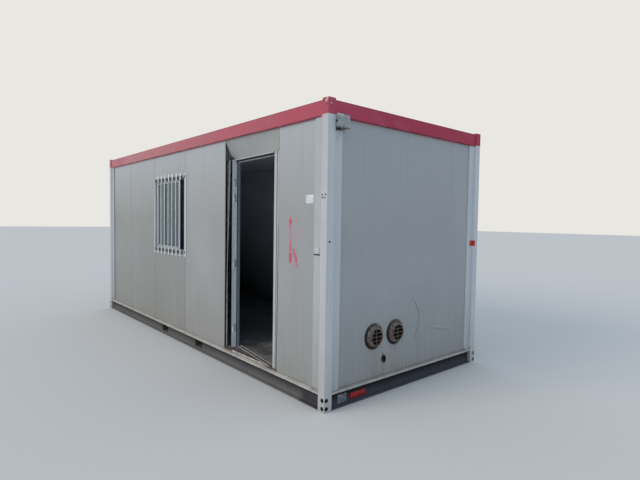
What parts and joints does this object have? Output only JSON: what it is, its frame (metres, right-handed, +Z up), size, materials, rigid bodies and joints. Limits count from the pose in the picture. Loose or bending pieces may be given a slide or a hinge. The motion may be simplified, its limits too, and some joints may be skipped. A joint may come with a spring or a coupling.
{
  "type": "portable site cabin",
  "caption": "Portable site cabin with a steel corner-post frame, sandwich panel walls, a barred sliding window, an open damaged doorway, fork pockets and round end-wall vents.",
  "frame": {"origin": "middle of the footprint of the four foot blocks, at ground level; the power inlet box and vents stand up to 35 mm past the +X end of that footprint", "axes": "+X along the long side, towards the end wall with the vents; the long side with the doorway and window faces -Y; +Z up"},
  "size_m": [6.09, 2.435, 2.74],
  "materials": {
    "panel_skin": "satin pale grey coil coating, dusty low down",
    "frame_paint": "semi-gloss light grey",
    "rail_paint": "faded dark red, chalky",
    "base_paint": "dull slate grey, dirty",
    "ledge_paint": "satin off-white",
    "zinc": "dull galvanised sheet",
    "ceiling_skin": "matt lining sheet",
    "floor_board": "worn sealed board",
    "window_profile": "satin light grey",
    "pane": "dusty tinted glass",
    "door_profile": "satin, scratched",
    "rusty_step": "rusty and dirty",
    "lath_plastic": "dirty brown-grey",
    "vent_plastic": "matt brown-grey",
    "box_plastic": "weathered grey"
  },
  "bodies": {
    "root": {"base_rail_front": "base_paint", "base_rail_back": "base_paint", "base_rail_left": "base_paint", "base_rail_right": "base_paint", "fork_pocket_frames": "base_paint", "fork_sleeves": "base_paint", "floor_bearers": "base_paint", "floor_panel": "floor_board", "foot_blocks": "frame_paint", "head_blocks": "rail_paint", "post_front_left": "frame_paint", "post_front_right": "frame_paint", "post_back_left": "frame_paint", "post_back_right": "frame_paint", "corner_strips": "frame_paint", "ledges": "ledge_paint", "front_panel_1": "panel_skin", "front_panel_2": "panel_skin", "panel_under_window": "panel_skin", "panel_over_window": "panel_skin", "front_panel_3": "panel_skin", "over_door_panel": "panel_skin", "front_panel_4": "panel_skin", "wall_back": "panel_skin", "wall_left": "panel_skin", "wall_right": "panel_skin", "roof_rail_front": "rail_paint", "roof_rail_back": "rail_paint", "roof_rail_left": "rail_paint", "roof_rail_right": "rail_paint", "roof_sheet": "zinc", "ceiling_panel": "ceiling_skin", "window_frame": "window_profile", "window_sashes": "window_profile", "window_glass": "pane", "grille_rails": "zinc", "threshold": "rusty_step", "door_frame": "door_profile", "door_hinges": "zinc", "door_side_strips": "door_profile", "door_sill": "ledge_paint", "joint_lath": "lath_plastic", "vent_left": "vent_plastic", "vent_right": "vent_plastic", "power_box": "box_plastic"}
  },
  "joints": []
}
